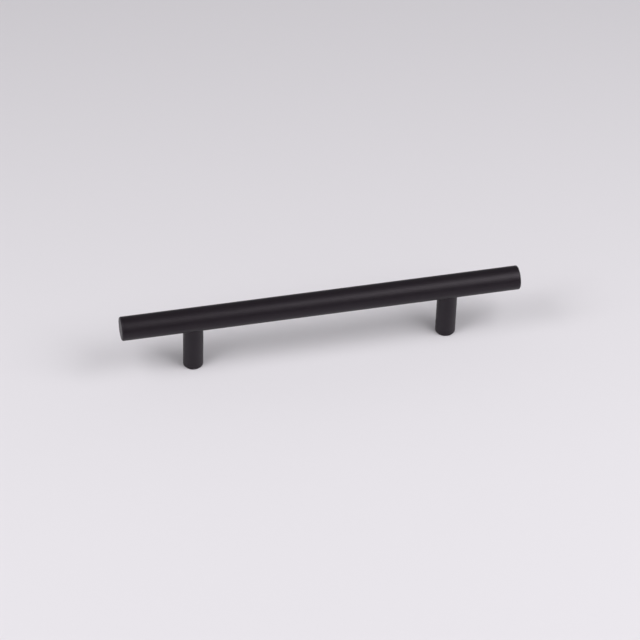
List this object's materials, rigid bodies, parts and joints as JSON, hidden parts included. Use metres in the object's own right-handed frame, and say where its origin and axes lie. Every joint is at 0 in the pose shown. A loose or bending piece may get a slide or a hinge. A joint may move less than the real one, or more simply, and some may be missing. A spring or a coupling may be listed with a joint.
{
  "type": "t bar cabinet pull",
  "caption": "Matt black T bar pull for a cabinet door or drawer: a straight round bar carried on round posts, with threaded feet for screws from inside the door.",
  "frame": {"origin": "midway between the two feet, on the face of the door that the pull is fixed to", "axes": "+X along the bar, +Y across it, +Z away from the door"},
  "size_m": [0.2, 0.012, 0.035],
  "materials": {
    "black_coating": "matt black powder coat on steel",
    "zinc_steel": "bright zinc plate on steel"
  },
  "bodies": {
    "root": {"bar": "black_coating", "left_post": "black_coating", "right_post": "black_coating", "left_stud": "zinc_steel", "right_stud": "zinc_steel"}
  },
  "joints": []
}
